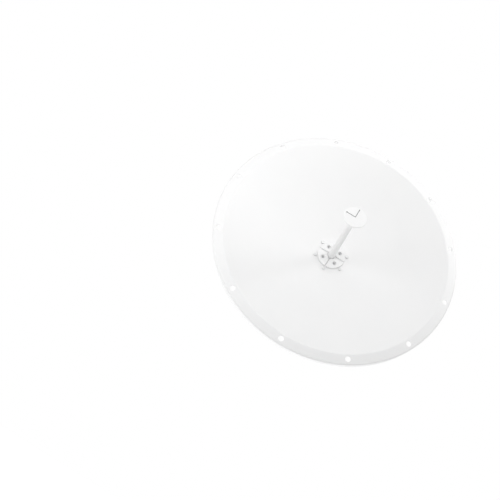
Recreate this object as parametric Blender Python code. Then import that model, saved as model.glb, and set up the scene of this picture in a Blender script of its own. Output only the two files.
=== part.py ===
"""Microwave dish antenna: a one-metre class reflector with a central feed and a pole bracket.

Metres, +Z up. The dish looks along -Y, and the pole that carries it stands at +Y.
The origin is the centre of the pole bracket's flat back face, where the pole touches it.
"""
import math

import bmesh
import bpy
from mathutils import Matrix, Vector

GAP = 0.0003

# Reflector: the rim's front face is a flat ring, and the bowl behind it is a paraboloid
RIM_Y = -0.320
RIM_INNER_R = 0.4825
RIM_CREASE_R = 0.5170
RIM_OUTER_R = 0.5230
RIM_HOLE_CIRCLE_R = 0.500
RIM_HOLE_R = 0.0105
RIM_HOLES = 12
LIP_DEPTH = 0.028
FOCAL_LENGTH = 0.345
SHELL = 0.0025
HUB_FLAT_R = 0.088
BOWL_RINGS = 9
BOWL_STEPS = 84

# Hub: six bolts clamp the reflector to a round plate behind it
HUB_BOLT_CIRCLE_R = 0.073
HUB_BOLTS = 6
HUB_PLATE_R = 0.100
HUB_PLATE_BORE_R = 0.050
HUB_PLATE_THICK = 0.004

# Feed: a round foot plate in four pads, a tapered tube and a small disc at the focus
FOOT_R = 0.064
FOOT_THICK = 0.008
FOOT_GROOVE_WIDTH = 0.010
FOOT_GROOVE_DEPTH = 0.005
FOOT_RECESS_R = 0.0200
SCREW_CIRCLE_R = 0.041
SCREW_POCKET_R = 0.0085
SCREW_POCKET_DEPTH = 0.005
SCREWS = 4
TUBE_BASE_R = 0.0165
TUBE_TOP_R = 0.0105
CONE_R = 0.0185
CONE_LENGTH = 0.016
DISC_R = 0.046
DISC_THICK = 0.005
DISC_FRONT_AHEAD = 0.1815
HOUSING_NECK_R = 0.033
HOUSING_FLANGE_R = 0.0485
HOUSING_FLANGE_THICK = 0.006
HOUSING_BODY_R = 0.034
HOUSING_BODY_LENGTH = 0.042
CONNECTOR_SPREAD = 0.0135
CONNECTOR_PAD_Z = -0.036

# Direction lines: two thin arrows printed on the disc
ARROW_LENGTH = 0.0415
ARROW_LINE = 0.0013
ARROW_HEAD = 0.0050
ARROW_THICK = 0.0004

# Yoke: two angle plates on the hub, turning in the ears of the pole bracket
YOKE_INNER_X = 0.050
YOKE_THICK = 0.004
YOKE_FLANGE_X = 0.085
YOKE_HALF_HEIGHT = 0.055
YOKE_BACK_Y = -0.048
PIVOT_Y = -0.080
PIVOT_Z = -0.030
LOCK_Z = 0.028
SLOT_SWING = math.radians(14)

# Pole bracket: a plate with two ears, and two V jaws drawn up to it by four bolts
PLATE_THICK = 0.006
PLATE_HALF_WIDTH = 0.068
PLATE_HALF_HEIGHT = 0.095
EAR_OUTER_X = 0.0495
EAR_THICK = 0.004
EAR_FRONT_Y = -0.112
EAR_HALF_HEIGHT = 0.046
POLE_R = 0.038
CLAMP_BOLT_X = 0.052
CLAMP_Z = 0.070
JAW_HALF_HEIGHT = 0.016
JAW_THICK = 0.005
JAW_V_HALF_WIDTH = 0.040
JAW_HALF_WIDTH = 0.066

# Threads, as (shank radius, head width over the flats, head height, nut height)
M5 = (0.0025, 0.0105, 0.0032, 0.0040)
M8 = (0.0040, 0.0130, 0.0053, 0.0065)
M10 = (0.0050, 0.0170, 0.0064, 0.0084)
CLEARANCE = 0.0004

FORWARD = (0.0, -1.0, 0.0)
BACKWARD = (0.0, 1.0, 0.0)
DOWN = (0.0, 0.0, -1.0)


def clear_scene():
    for old in list(bpy.data.objects):
        bpy.data.objects.remove(old, do_unlink=True)


def finish(name, colour, roughness, metallic):
    material = bpy.data.materials.new(name)
    material.use_nodes = True
    shader = material.node_tree.nodes["Principled BSDF"]
    shader.inputs["Base Color"].default_value = (*colour, 1.0)
    shader.inputs["Roughness"].default_value = roughness
    shader.inputs["Metallic"].default_value = metallic
    return material


def mesh_from(name, bm, material):
    bmesh.ops.recalc_face_normals(bm, faces=bm.faces)
    mesh = bpy.data.meshes.new(name)
    bm.to_mesh(mesh)
    bm.free()
    mesh.materials.append(material)
    mesh.shade_smooth()
    mesh.set_sharp_from_angle(angle=math.radians(35))
    return mesh


def place(name, mesh, location=(0.0, 0.0, 0.0), facing=(0.0, 0.0, 1.0)):
    """Puts a mesh in the scene with its own +Z turned to facing."""
    piece = bpy.data.objects.new(name, mesh)
    piece.rotation_mode = "QUATERNION"
    piece.rotation_quaternion = Vector((0.0, 0.0, 1.0)).rotation_difference(Vector(facing))
    piece.location = location
    bpy.context.scene.collection.objects.link(piece)
    return piece


def turned(name, profile, material, steps=32):
    """A profile of (radius, height) turned about Z, closed by the axis or by itself."""
    bm = bmesh.new()
    points = [bm.verts.new((radius, 0.0, height)) for radius, height in profile]
    edges = [bm.edges.new(pair) for pair in zip(points, points[1:])]
    if profile[0][0] > 0.0:
        edges.append(bm.edges.new((points[-1], points[0])))
    bmesh.ops.spin(bm, geom=points + edges, cent=(0, 0, 0), axis=(0, 0, 1),
                   angle=2 * math.pi, steps=steps, use_merge=True)
    bmesh.ops.remove_doubles(bm, verts=bm.verts, dist=1e-6)
    return mesh_from(name, bm, material)


def at(plane, u, v, w):
    """A point of a drawing plane, XY, XZ or YZ, at the distance w along the third axis."""
    return {"XY": (u, v, w), "XZ": (u, w, v), "YZ": (w, u, v)}[plane]


def add_prism(bm, outline, plane, low, high):
    bottom = [bm.verts.new(at(plane, u, v, low)) for u, v in outline]
    face = bm.faces.new(bottom)
    grown = bmesh.ops.extrude_face_region(bm, geom=[face])
    top = [item for item in grown["geom"] if isinstance(item, bmesh.types.BMVert)]
    bmesh.ops.translate(bm, verts=top, vec=at(plane, 0.0, 0.0, high - low))


def prism(name, outlines, plane, low, high, material):
    """One or more outlines of a drawing plane, extruded from low to high."""
    bm = bmesh.new()
    for outline in outlines:
        add_prism(bm, outline, plane, low, high)
    return mesh_from(name, bm, material)


def circle(centre, radius, steps, start=0.0):
    angles = [start + 2 * math.pi * i / steps for i in range(steps)]
    return [(centre[0] + radius * math.cos(a), centre[1] + radius * math.sin(a)) for a in angles]


def ring_places(count, radius, start):
    """Centres of count places around a circle, from the angle start."""
    return circle((0.0, 0.0), radius, count, start)


def rounded_outline(corners, radius, steps=5):
    """A closed outline whose corners are arcs of one radius."""
    points = []
    count = len(corners)
    for i, corner in enumerate(corners):
        here = Vector(corner)
        to_last = (Vector(corners[i - 1]) - here).normalized()
        to_next = (Vector(corners[(i + 1) % count]) - here).normalized()
        half = to_last.angle(to_next) / 2
        reach = radius / math.tan(half)
        middle = here + (to_last + to_next).normalized() * radius / math.sin(half)
        first = here + to_last * reach - middle
        turn = first.angle_signed(here + to_next * reach - middle)
        for step in range(steps + 1):
            spoke = first.copy()
            spoke.rotate(Matrix.Rotation(-turn * step / steps, 2))
            points.append(tuple(middle + spoke))
    return points


def bool_with(target, tool, operation="DIFFERENCE"):
    modifier = target.modifiers.new(tool.name, "BOOLEAN")
    modifier.operation = operation
    modifier.solver = "EXACT"
    modifier.object = tool
    tool.hide_render = True
    tool.display_type = "WIRE"


def cut(target, outlines, plane, low, high):
    """Cuts the outlines' prisms out of the target."""
    name = f"cutter_{target.name}_{len(target.modifiers)}"
    bool_with(target, place(name, prism(name, outlines, plane, low, high, STEEL)))


def holes(centres, radius, steps=12):
    return [circle(centre, radius, steps) for centre in centres]


def bowl_y(radius):
    """The Y of the paraboloid's front face at a radius."""
    return RIM_Y + (RIM_INNER_R ** 2 - radius ** 2) / (4 * FOCAL_LENGTH)


def bowl_back(radius):
    """The point one shell thickness behind the front face at a radius, as (radius, Y)."""
    slope = radius / (2 * FOCAL_LENGTH)
    length = math.hypot(slope, 1.0)
    return radius + SHELL * slope / length, bowl_y(radius) + SHELL / length


HUB_FRONT_Y = bowl_y(HUB_FLAT_R)
HUB_BACK_Y = HUB_FRONT_Y + SHELL
PLATE_FRONT_Y = HUB_BACK_Y + GAP
PLATE_BACK_Y = PLATE_FRONT_Y + HUB_PLATE_THICK
YOKE_FRONT_Y = PLATE_BACK_Y + GAP
YOKE_FLANGE_BACK_Y = YOKE_FRONT_Y + YOKE_THICK
FOOT_BACK_Y = HUB_FRONT_Y - GAP
FOOT_FRONT_Y = FOOT_BACK_Y - FOOT_THICK
DISC_FRONT_Y = RIM_Y - DISC_FRONT_AHEAD
HUB_ANGLES = math.radians(30)
SCREW_ANGLES = math.radians(45)

clear_scene()
WHITE_PAINT = finish("white_paint", (0.86, 0.86, 0.86), 0.38, 0.0)
WHITE_PLASTIC = finish("white_plastic", (0.84, 0.84, 0.84), 0.30, 0.0)
STEEL = finish("zinc_steel", (0.62, 0.63, 0.64), 0.35, 1.0)
GALVANISED = finish("galvanised_steel", (0.56, 0.57, 0.58), 0.50, 1.0)
ALLOY = finish("cast_alloy", (0.66, 0.66, 0.67), 0.45, 1.0)
BLACK = finish("black_print", (0.03, 0.03, 0.03), 0.55, 0.0)
NICKEL = finish("nickel", (0.75, 0.73, 0.68), 0.22, 1.0)


def make_reflector():
    """The bowl, its flat rim and the turned-back lip, one shell of even thickness."""
    radii = [HUB_FLAT_R + (RIM_INNER_R - HUB_FLAT_R) * i / (BOWL_RINGS - 1)
             for i in range(BOWL_RINGS)]
    corner = (RIM_CREASE_R + RIM_OUTER_R) / 2
    front = [(HOUSING_NECK_R + CLEARANCE, HUB_FRONT_Y)]
    front += [(radius, bowl_y(radius)) for radius in radii]
    front += [(RIM_CREASE_R, RIM_Y), (corner + 0.001, RIM_Y + 0.002)]
    front += [(RIM_OUTER_R - 0.001, RIM_Y + 0.006), (RIM_OUTER_R, RIM_Y + LIP_DEPTH)]
    back = [(RIM_OUTER_R - SHELL, RIM_Y + LIP_DEPTH)]
    back += [(RIM_OUTER_R - SHELL - 0.001, RIM_Y + 0.006), (corner - 0.003, RIM_Y + SHELL)]
    back += [(RIM_INNER_R + SHELL, RIM_Y + SHELL + 0.0006)]
    back += [bowl_back(radius) for radius in reversed(radii[1:-1])]
    back += [(HUB_FLAT_R, HUB_BACK_Y), (HOUSING_NECK_R + CLEARANCE, HUB_BACK_Y)]
    profile = [(radius, -y) for radius, y in front + back]
    mesh = turned("reflector", profile, WHITE_PAINT, BOWL_STEPS)
    reflector = place("reflector", mesh, facing=FORWARD)
    rim = ring_places(RIM_HOLES, RIM_HOLE_CIRCLE_R, 0.0)
    cut(reflector, holes(rim, RIM_HOLE_R, 16), "XZ", RIM_Y - 0.01, RIM_Y + 0.01)
    bolts = ring_places(HUB_BOLTS, HUB_BOLT_CIRCLE_R, HUB_ANGLES)
    screws = ring_places(SCREWS, SCREW_CIRCLE_R, SCREW_ANGLES)
    small = holes(bolts, M8[0] + CLEARANCE) + holes(screws, M5[0] + CLEARANCE)
    cut(reflector, small, "XZ", HUB_FRONT_Y - 0.01, HUB_BACK_Y + 0.01)


def bolt_mesh(name, size, length, thread_steps=12):
    """A hexagon head from z = 0 up and its shank down to -length."""
    shank_r, across_flats, head_height, _ = size
    bm = bmesh.new()
    head_r = across_flats / math.sqrt(3)
    head = circle((0.0, 0.0), head_r, 6)
    add_prism(bm, head, "XY", 0.0, head_height)
    bottom = min(bm.faces, key=lambda face: face.calc_center_median().z)
    bmesh.ops.delete(bm, geom=[bottom], context="FACES_ONLY")
    under = [edge for edge in bm.edges if edge.is_boundary]
    neck = [bm.verts.new((x, y, 0.0)) for x, y in circle((0.0, 0.0), shank_r, thread_steps)]
    neck_edges = [bm.edges.new(pair) for pair in zip(neck, neck[1:] + neck[:1])]
    bmesh.ops.bridge_loops(bm, edges=under + neck_edges)
    grown = bmesh.ops.extrude_edge_only(bm, edges=neck_edges)
    tip = [item for item in grown["geom"] if isinstance(item, bmesh.types.BMVert)]
    bmesh.ops.translate(bm, verts=tip, vec=(0.0, 0.0, -length))
    bmesh.ops.contextual_create(bm, geom=tip)
    return mesh_from(name, bm, STEEL)


def nut_mesh(name, size, bore_steps=12):
    """A hexagon nut from z = 0 up, bored clear of its bolt."""
    shank_r, across_flats, _, nut_height = size
    bm = bmesh.new()
    rims = []
    for height in (0.0, nut_height):
        loops = []
        for radius, steps in ((across_flats / math.sqrt(3), 6), (shank_r + GAP, bore_steps)):
            ring = [bm.verts.new((x, y, height)) for x, y in circle((0.0, 0.0), radius, steps)]
            loops.append([bm.edges.new(pair) for pair in zip(ring, ring[1:] + ring[:1])])
        bmesh.ops.bridge_loops(bm, edges=loops[0] + loops[1])
        rims.append(loops)
    for lower, upper in zip(*rims):
        bmesh.ops.bridge_loops(bm, edges=lower + upper)
    return mesh_from(name, bm, STEEL)


def make_hub():
    """The round plate behind the reflector, its six bolts and their nuts."""
    profile = [(HUB_PLATE_BORE_R, 0.0), (HUB_PLATE_R, 0.0),
               (HUB_PLATE_R, HUB_PLATE_THICK), (HUB_PLATE_BORE_R, HUB_PLATE_THICK)]
    mesh = turned("hub_plate", profile, GALVANISED, 48)
    plate = place("hub_plate", mesh, (0.0, PLATE_FRONT_Y, 0.0), BACKWARD)
    places = ring_places(HUB_BOLTS, HUB_BOLT_CIRCLE_R, HUB_ANGLES)
    cut(plate, holes(places, M8[0] + CLEARANCE), "XZ", PLATE_FRONT_Y - 0.01, PLATE_BACK_Y + 0.01)
    proud = 0.004
    length = YOKE_FLANGE_BACK_Y + GAP + M8[3] + proud - (HUB_FRONT_Y - GAP)
    bolt = bolt_mesh("hub_bolt", M8, length)
    nut = nut_mesh("hub_nut", M8)
    for i, (x, z) in enumerate(places, start=1):
        on_yoke = abs(x) > YOKE_INNER_X
        seat = (YOKE_FLANGE_BACK_Y if on_yoke else PLATE_BACK_Y) + GAP
        place(f"hub_bolt_{i}", bolt, (x, HUB_FRONT_Y - GAP, z), FORWARD)
        place(f"hub_nut_{i}", nut, (x, seat, z), BACKWARD)


def make_foot_plate():
    """The feed's foot: a disc with a cross of grooves and four screw pockets in the pads."""
    profile = [(0.0, 0.0), (FOOT_R, 0.0), (FOOT_R, FOOT_THICK - 0.001),
               (FOOT_R - 0.001, FOOT_THICK), (0.0, FOOT_THICK)]
    mesh = turned("feed_foot", profile, WHITE_PLASTIC, 48)
    foot = place("feed_foot", mesh, (0.0, FOOT_BACK_Y, 0.0), FORWARD)
    half = FOOT_GROOVE_WIDTH / 2
    reach = FOOT_R + 0.01
    floor = FOOT_FRONT_Y + FOOT_GROOVE_DEPTH
    across = [(-reach, -half), (reach, -half), (reach, half), (-reach, half)]
    upright = [(z, x) for x, z in across]
    above = FOOT_FRONT_Y - 0.01
    cut(foot, [across], "XZ", above, floor)
    cut(foot, [upright], "XZ", above, floor)
    cut(foot, [circle((0.0, 0.0), FOOT_RECESS_R, 32)], "XZ", above, floor)
    screws = ring_places(SCREWS, SCREW_CIRCLE_R, SCREW_ANGLES)
    cut(foot, holes(screws, SCREW_POCKET_R, 16), "XZ", above, FOOT_FRONT_Y + SCREW_POCKET_DEPTH)
    cut(foot, holes(screws, M5[0] + CLEARANCE), "XZ", above, FOOT_BACK_Y + 0.01)


def make_feed():
    """The tapered tube, the cone under the disc, and the disc at the focus."""
    tube_foot = FOOT_FRONT_Y + FOOT_GROOVE_DEPTH - GAP
    cone_top = DISC_FRONT_Y + DISC_THICK + GAP
    cone_foot = cone_top + CONE_LENGTH
    tube_length = tube_foot - cone_foot - GAP
    tube = [(0.0, 0.0), (TUBE_BASE_R, 0.0), (TUBE_TOP_R, tube_length), (0.0, tube_length)]
    place("feed_tube", turned("feed_tube", tube, WHITE_PLASTIC), (0.0, tube_foot, 0.0), FORWARD)
    cone = [(0.0, 0.0), (TUBE_TOP_R + 0.0005, 0.0)]
    cone += [(TUBE_TOP_R + 0.0005 + (CONE_R - TUBE_TOP_R) * t ** 2, CONE_LENGTH * t)
             for t in (0.35, 0.7, 1.0)]
    cone += [(0.0, CONE_LENGTH)]
    place("feed_cone", turned("feed_cone", cone, WHITE_PLASTIC), (0.0, cone_foot, 0.0), FORWARD)
    edge = 0.0008
    disc = [(0.0, 0.0), (DISC_R - edge, 0.0), (DISC_R, edge), (DISC_R, DISC_THICK - edge),
            (DISC_R - edge, DISC_THICK), (0.0, DISC_THICK)]
    mesh = turned("sub_reflector", disc, WHITE_PLASTIC, 48)
    place("sub_reflector", mesh, (0.0, DISC_FRONT_Y + DISC_THICK, 0.0), FORWARD)


def make_direction_lines():
    """Two thin arrows on the disc, one up and one left, that show how the feed is turned."""
    half, barb, neck = ARROW_LINE / 2, ARROW_HEAD / 2, ARROW_LENGTH - ARROW_HEAD
    up = [(half, neck), (barb, neck), (0.0, ARROW_LENGTH), (-barb, neck), (-half, neck)]
    left = [(-z, x) for x, z in up]
    outline = [(half, -half)] + up + [(-half, half)] + left
    back = DISC_FRONT_Y - GAP
    lines = prism("direction_lines", [outline], "XZ", back - ARROW_THICK, back, BLACK)
    place("direction_lines", lines)


def make_feed_screws():
    """Four screws through the foot and the reflector into the housing behind."""
    seat = FOOT_FRONT_Y + SCREW_POCKET_DEPTH - GAP
    length = HUB_BACK_Y + GAP + HOUSING_FLANGE_THICK - seat
    screw = bolt_mesh("feed_screw", M5, length)
    for i, (x, z) in enumerate(ring_places(SCREWS, SCREW_CIRCLE_R, SCREW_ANGLES), start=1):
        place(f"feed_screw_{i}", screw, (x, seat, z), FORWARD)


def make_housing():
    """The feed's metal back: a neck through the reflector, a flange and a round body."""
    neck = HUB_BACK_Y + GAP - (FOOT_BACK_Y + GAP)
    flange = neck + HOUSING_FLANGE_THICK
    body = flange + HOUSING_BODY_LENGTH
    edge = 0.003
    profile = [(0.0, 0.0), (HOUSING_NECK_R, 0.0), (HOUSING_NECK_R, neck),
               (HOUSING_FLANGE_R, neck), (HOUSING_FLANGE_R, flange),
               (HOUSING_BODY_R, flange), (HOUSING_BODY_R, body - edge),
               (HOUSING_BODY_R - edge, body), (0.0, body)]
    start = FOOT_BACK_Y + GAP
    mesh = turned("feed_housing", profile, ALLOY, 40)
    housing = place("feed_housing", mesh, (0.0, start, 0.0), BACKWARD)
    pad_y = start + flange + HOUSING_BODY_LENGTH / 2
    half = 0.012
    pad = rounded_outline([(-0.026, pad_y - half), (0.026, pad_y - half),
                           (0.026, pad_y + half), (-0.026, pad_y + half)], 0.003)
    block = place("block_pad", prism("block_pad", [pad], "XY", CONNECTOR_PAD_Z, -0.020, ALLOY))
    bool_with(housing, block, "UNION")
    screws = ring_places(SCREWS, SCREW_CIRCLE_R, SCREW_ANGLES)
    cut(housing, holes(screws, M5[0] + CLEARANCE), "XZ", start + neck - 0.002,
        start + flange + 0.002)
    connector = [(0.0, 0.0), (0.0095, 0.0), (0.0095, 0.004), (0.0079, 0.005),
                 (0.0079, 0.018), (0.0062, 0.018), (0.0062, 0.007), (0.0016, 0.007),
                 (0.0016, 0.016), (0.0, 0.016)]
    socket = turned("connector", connector, NICKEL, 20)
    for side, x in (("left", -CONNECTOR_SPREAD), ("right", CONNECTOR_SPREAD)):
        place(f"connector_{side}", socket, (x, pad_y, CONNECTOR_PAD_Z - GAP), DOWN)


def mirrored(points, side):
    return [(side * u, v) for u, v in points]


def make_yoke():
    """An angle plate each side: a flange on the hub plate and an ear towards the pole."""
    outer_x = YOKE_INNER_X + YOKE_THICK
    high = YOKE_HALF_HEIGHT
    ear = rounded_outline([(YOKE_FRONT_Y, -high), (YOKE_BACK_Y, -high + 0.008),
                           (YOKE_BACK_Y, high - 0.008), (YOKE_FRONT_Y, high)], 0.006)
    flange = rounded_outline([(YOKE_INNER_X + 0.002, -high), (YOKE_FLANGE_X, -high),
                              (YOKE_FLANGE_X, high), (YOKE_INNER_X + 0.002, high)], 0.001)
    bolts = ring_places(HUB_BOLTS, HUB_BOLT_CIRCLE_R, HUB_ANGLES)
    for name, side in (("yoke_left", -1), ("yoke_right", 1)):
        low_x, high_x = sorted((side * YOKE_INNER_X, side * outer_x))
        yoke = place(name, prism(name, [ear], "YZ", low_x, high_x, GALVANISED))
        tool = prism(f"block_{name}", [mirrored(flange, side)], "XZ", YOKE_FRONT_Y,
                     YOKE_FLANGE_BACK_Y, GALVANISED)
        bool_with(yoke, place(f"block_{name}", tool), "UNION")
        near = [(x, z) for x, z in bolts if side * x > YOKE_INNER_X]
        cut(yoke, holes(near, M8[0] + CLEARANCE), "XZ", YOKE_FRONT_Y - 0.01,
            YOKE_FLANGE_BACK_Y + 0.01)
        pins = [(PIVOT_Y, PIVOT_Z), (PIVOT_Y, LOCK_Z)]
        cut(yoke, holes(pins, M8[0] + CLEARANCE, 16), "YZ", low_x - 0.01, high_x + 0.01)


def arc_slot(centre, radius, swing, half_width, steps=8):
    """The outline of a slot along an arc above its centre, with round ends."""
    def on_arc(angle, distance):
        return (centre[0] + distance * math.sin(angle), centre[1] + distance * math.cos(angle))

    outline = []
    for i in range(steps + 1):
        outline.append(on_arc(-swing + 2 * swing * i / steps, radius + half_width))
    for sign in (1, -1):
        end = on_arc(sign * swing, radius)
        for i in range(1, 6):
            turn = sign * swing + math.pi * i / 6 + (0.0 if sign > 0 else math.pi)
            outline.append((end[0] + half_width * math.sin(turn), end[1] + half_width * math.cos(turn)))
        if sign > 0:
            for i in range(steps + 1):
                outline.append(on_arc(swing - 2 * swing * i / steps, radius - half_width))
    return outline


def make_pole_bracket():
    """The plate on the pole, with two ears welded to its front."""
    wide, tall = PLATE_HALF_WIDTH, PLATE_HALF_HEIGHT
    sheet = rounded_outline([(-wide, -tall), (wide, -tall), (wide, tall), (-wide, tall)], 0.010)
    mesh = prism("pole_bracket", [sheet], "XZ", -PLATE_THICK, 0.0, GALVANISED)
    bracket = place("pole_bracket", mesh)
    high = EAR_HALF_HEIGHT
    root_y = -PLATE_THICK / 2
    ear = [(root_y, -high - 0.012), (-0.030, -high), (EAR_FRONT_Y, -high), (EAR_FRONT_Y, high),
           (-0.030, high), (root_y, high + 0.012)]
    slot = arc_slot((PIVOT_Y, PIVOT_Z), LOCK_Z - PIVOT_Z, SLOT_SWING, M8[0] + CLEARANCE)
    for side in (-1, 1):
        low_x, high_x = sorted((side * (EAR_OUTER_X - EAR_THICK), side * EAR_OUTER_X))
        name = "block_ear_left" if side < 0 else "block_ear_right"
        tool = prism(name, [rounded_outline(ear, 0.0025, 2)], "YZ", low_x, high_x, GALVANISED)
        bool_with(bracket, place(name, tool), "UNION")
        cut(bracket, [slot], "YZ", low_x - 0.005, high_x + 0.005)
        pivot = holes([(PIVOT_Y, PIVOT_Z)], M8[0] + CLEARANCE, 16)
        cut(bracket, pivot, "YZ", low_x - 0.005, high_x + 0.005)
    cut(bracket, holes(clamp_places(), M10[0] + CLEARANCE), "XZ", -PLATE_THICK - 0.01, 0.01)


def clamp_places():
    return [(x, z) for z in (CLAMP_Z, -CLAMP_Z) for x in (-CLAMP_BOLT_X, CLAMP_BOLT_X)]


def make_pivots():
    """The bolt that the yoke turns on, and a short lock bolt in each ear's slot."""
    outside = YOKE_INNER_X + YOKE_THICK + GAP
    inside = EAR_OUTER_X - EAR_THICK - GAP
    proud = 0.004
    across = bolt_mesh("pivot_bolt", M8, 2 * outside + M8[3] + proud, 16)
    place("pivot_bolt", across, (outside, PIVOT_Y, PIVOT_Z), (1.0, 0.0, 0.0))
    nut = nut_mesh("pivot_nut", M8)
    place("pivot_nut", nut, (-outside, PIVOT_Y, PIVOT_Z), (-1.0, 0.0, 0.0))
    short = bolt_mesh("lock_bolt", M8, outside - inside + M8[3] + proud, 16)
    for side, name in ((-1, "left"), (1, "right")):
        outward = (float(side), 0.0, 0.0)
        inward = (float(-side), 0.0, 0.0)
        place(f"lock_bolt_{name}", short, (side * outside, PIVOT_Y, LOCK_Z), outward)
        place(f"lock_nut_{name}", nut, (side * inside, PIVOT_Y, LOCK_Z), inward)


def make_clamps():
    """Two V jaws behind the pole, each with two bolts from the bracket's front."""
    apex = POLE_R * (1 + math.sqrt(2))
    wing_y = apex - JAW_V_HALF_WIDTH
    shift = JAW_THICK * math.tan(math.radians(22.5))
    inner = [(JAW_HALF_WIDTH, wing_y), (JAW_V_HALF_WIDTH, wing_y), (0.0, apex)]
    outer = [(0.0, apex + JAW_THICK * math.sqrt(2)),
             (JAW_V_HALF_WIDTH + shift, wing_y + JAW_THICK), (JAW_HALF_WIDTH, wing_y + JAW_THICK)]
    left_inner = mirrored(inner[:2], -1)
    left_outer = mirrored(outer[1:], -1)
    outline = inner + left_inner[::-1] + left_outer[::-1] + outer
    proud = 0.010
    length = wing_y + JAW_THICK + GAP + M10[3] + proud + PLATE_THICK + GAP
    bolt = bolt_mesh("clamp_bolt", M10, length)
    nut = nut_mesh("clamp_nut", M10)
    for name, z in (("upper", CLAMP_Z), ("lower", -CLAMP_Z)):
        mesh = prism(f"clamp_jaw_{name}", [outline], "XY", z - JAW_HALF_HEIGHT,
                     z + JAW_HALF_HEIGHT, GALVANISED)
        jaw = place(f"clamp_jaw_{name}", mesh)
        wings = [(x, spot_z) for x, spot_z in clamp_places() if spot_z == z]
        cut(jaw, holes(wings, M10[0] + CLEARANCE), "XZ", wing_y - 0.01, wing_y + JAW_THICK + 0.01)
    for i, (x, z) in enumerate(clamp_places(), start=1):
        place(f"clamp_bolt_{i}", bolt, (x, -PLATE_THICK - GAP, z), FORWARD)
        place(f"clamp_nut_{i}", nut, (x, wing_y + JAW_THICK + GAP, z), BACKWARD)


make_reflector()
make_hub()
make_foot_plate()
make_feed()
make_direction_lines()
make_feed_screws()
make_housing()
make_yoke()
make_pole_bracket()
make_pivots()
make_clamps()
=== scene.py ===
import math
import bmesh
import bpy
import numpy as np
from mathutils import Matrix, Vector
from mathutils.geometry import delaunay_2d_cdt


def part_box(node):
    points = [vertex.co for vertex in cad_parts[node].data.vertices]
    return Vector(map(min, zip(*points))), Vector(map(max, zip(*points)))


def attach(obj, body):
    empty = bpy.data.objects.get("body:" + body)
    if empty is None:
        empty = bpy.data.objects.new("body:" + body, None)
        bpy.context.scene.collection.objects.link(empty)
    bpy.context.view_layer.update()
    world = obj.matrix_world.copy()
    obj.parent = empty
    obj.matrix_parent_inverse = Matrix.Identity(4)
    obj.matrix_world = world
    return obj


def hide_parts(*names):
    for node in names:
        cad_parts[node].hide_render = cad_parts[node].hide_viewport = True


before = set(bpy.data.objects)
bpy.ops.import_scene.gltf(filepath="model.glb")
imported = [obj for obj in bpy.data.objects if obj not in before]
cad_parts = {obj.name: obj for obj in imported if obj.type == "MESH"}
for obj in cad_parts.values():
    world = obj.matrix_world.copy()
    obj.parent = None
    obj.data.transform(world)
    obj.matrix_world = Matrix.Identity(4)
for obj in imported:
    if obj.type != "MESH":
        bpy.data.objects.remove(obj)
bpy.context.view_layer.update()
print("frame loaded,", len(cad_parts), "nodes")

# the two directions that a piece's own u and v take. Its w is their cross product
facings = dict(
    front=((1, 0, 0), (0, 0, 1)),
    back=((-1, 0, 0), (0, 0, 1)),
    right=((0, 1, 0), (0, 0, 1)),
    left=((0, -1, 0), (0, 0, 1)),
    down=((1, 0, 0), (0, -1, 0)))
near = dict(merge=2e-6, crease=1e-6, flat=1e-9)    # what lies nearer than this counts as one


# Meshes

def gridQuads(rows, columns, closedRows=False, closedColumns=False):
    # quads between the points of a grid that is counted row by row
    r = np.arange(rows if closedRows else rows - 1)[:, None]
    c = np.arange(columns if closedColumns else columns - 1)[None, :]
    nextR, nextC = (r + 1) % rows, (c + 1) % columns
    corners = (r * columns + c, r * columns + nextC, nextR * columns + nextC, nextR * columns + c)
    return np.stack(np.broadcast_arrays(*corners), axis=-1).reshape(-1, 4)


def gridSurface(points, closedRows=False, closedColumns=False):
    # points is rows by columns by 3
    rows, columns = points.shape[:2]
    return points.reshape(-1, 3), gridQuads(rows, columns, closedRows, closedColumns)


def meshFrom(name, surfaces, sharpAngle=32.0):
    # joins (points, faces) pairs, drops unused points, merges doubles and turns the faces outwards
    starts = np.cumsum([0] + [len(points) for points, _ in surfaces])
    points = np.concatenate([points for points, _ in surfaces])
    corners = np.concatenate([(faces + start).ravel() for (_, faces), start in zip(surfaces, starts)])
    sizes = np.concatenate([np.full(len(faces), faces.shape[1]) for _, faces in surfaces])
    used, corners = np.unique(corners, return_inverse=True)
    mesh = bpy.data.meshes.new(name)
    mesh.vertices.add(len(used))
    mesh.vertices.foreach_set("co", points[used].astype(np.float32).ravel())
    mesh.loops.add(len(corners))
    mesh.loops.foreach_set("vertex_index", corners.astype(np.int32))
    mesh.polygons.add(len(sizes))
    mesh.polygons.foreach_set("loop_start", (np.cumsum(sizes) - sizes).astype(np.int32))
    mesh.update(calc_edges=True)
    bm = bmesh.new()
    bm.from_mesh(mesh)
    bmesh.ops.remove_doubles(bm, verts=bm.verts, dist=near["merge"])
    bmesh.ops.recalc_face_normals(bm, faces=bm.faces)
    bm.to_mesh(mesh)
    bm.free()
    mesh.shade_smooth()
    mesh.set_sharp_from_angle(angle=math.radians(sharpAngle))
    return mesh


def newObject(name, data):
    made = bpy.data.objects.new(name, data)
    bpy.context.scene.collection.objects.link(made)
    return made


def addPiece(name, surfaces, slotName, nodes=(), sharpAngle=32.0, finish=None):
    # a piece in its slot's finish or its own, on the one body, in place of the nodes it stands for
    piece = newObject(name, meshFrom(name, surfaces, sharpAngle))
    piece.data.materials.append(finishes[finish or slotName])
    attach(piece, "root")
    if nodes:
        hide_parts(*nodes)
    return piece


def placed(surfaces, seat, facing):
    # a piece's own (u, v, w) points put at its seat, with w along the facing
    u, v = facings[facing]
    axes = np.array((u, v, np.cross(u, v)), float)
    return [(points @ axes + np.array(seat), faces) for points, faces in surfaces]


def addPair(name, surfaces, node=None):
    # a galvanised piece on the right and its mirror image on the left
    mirrored = [(points * (-1, 1, 1), faces) for points, faces in surfaces]
    for side, made in (("Right", surfaces), ("Left", mirrored)):
        addPiece(name.format(side), made, "galvanised_steel", [node.format(side.lower())] if node else ())


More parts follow.
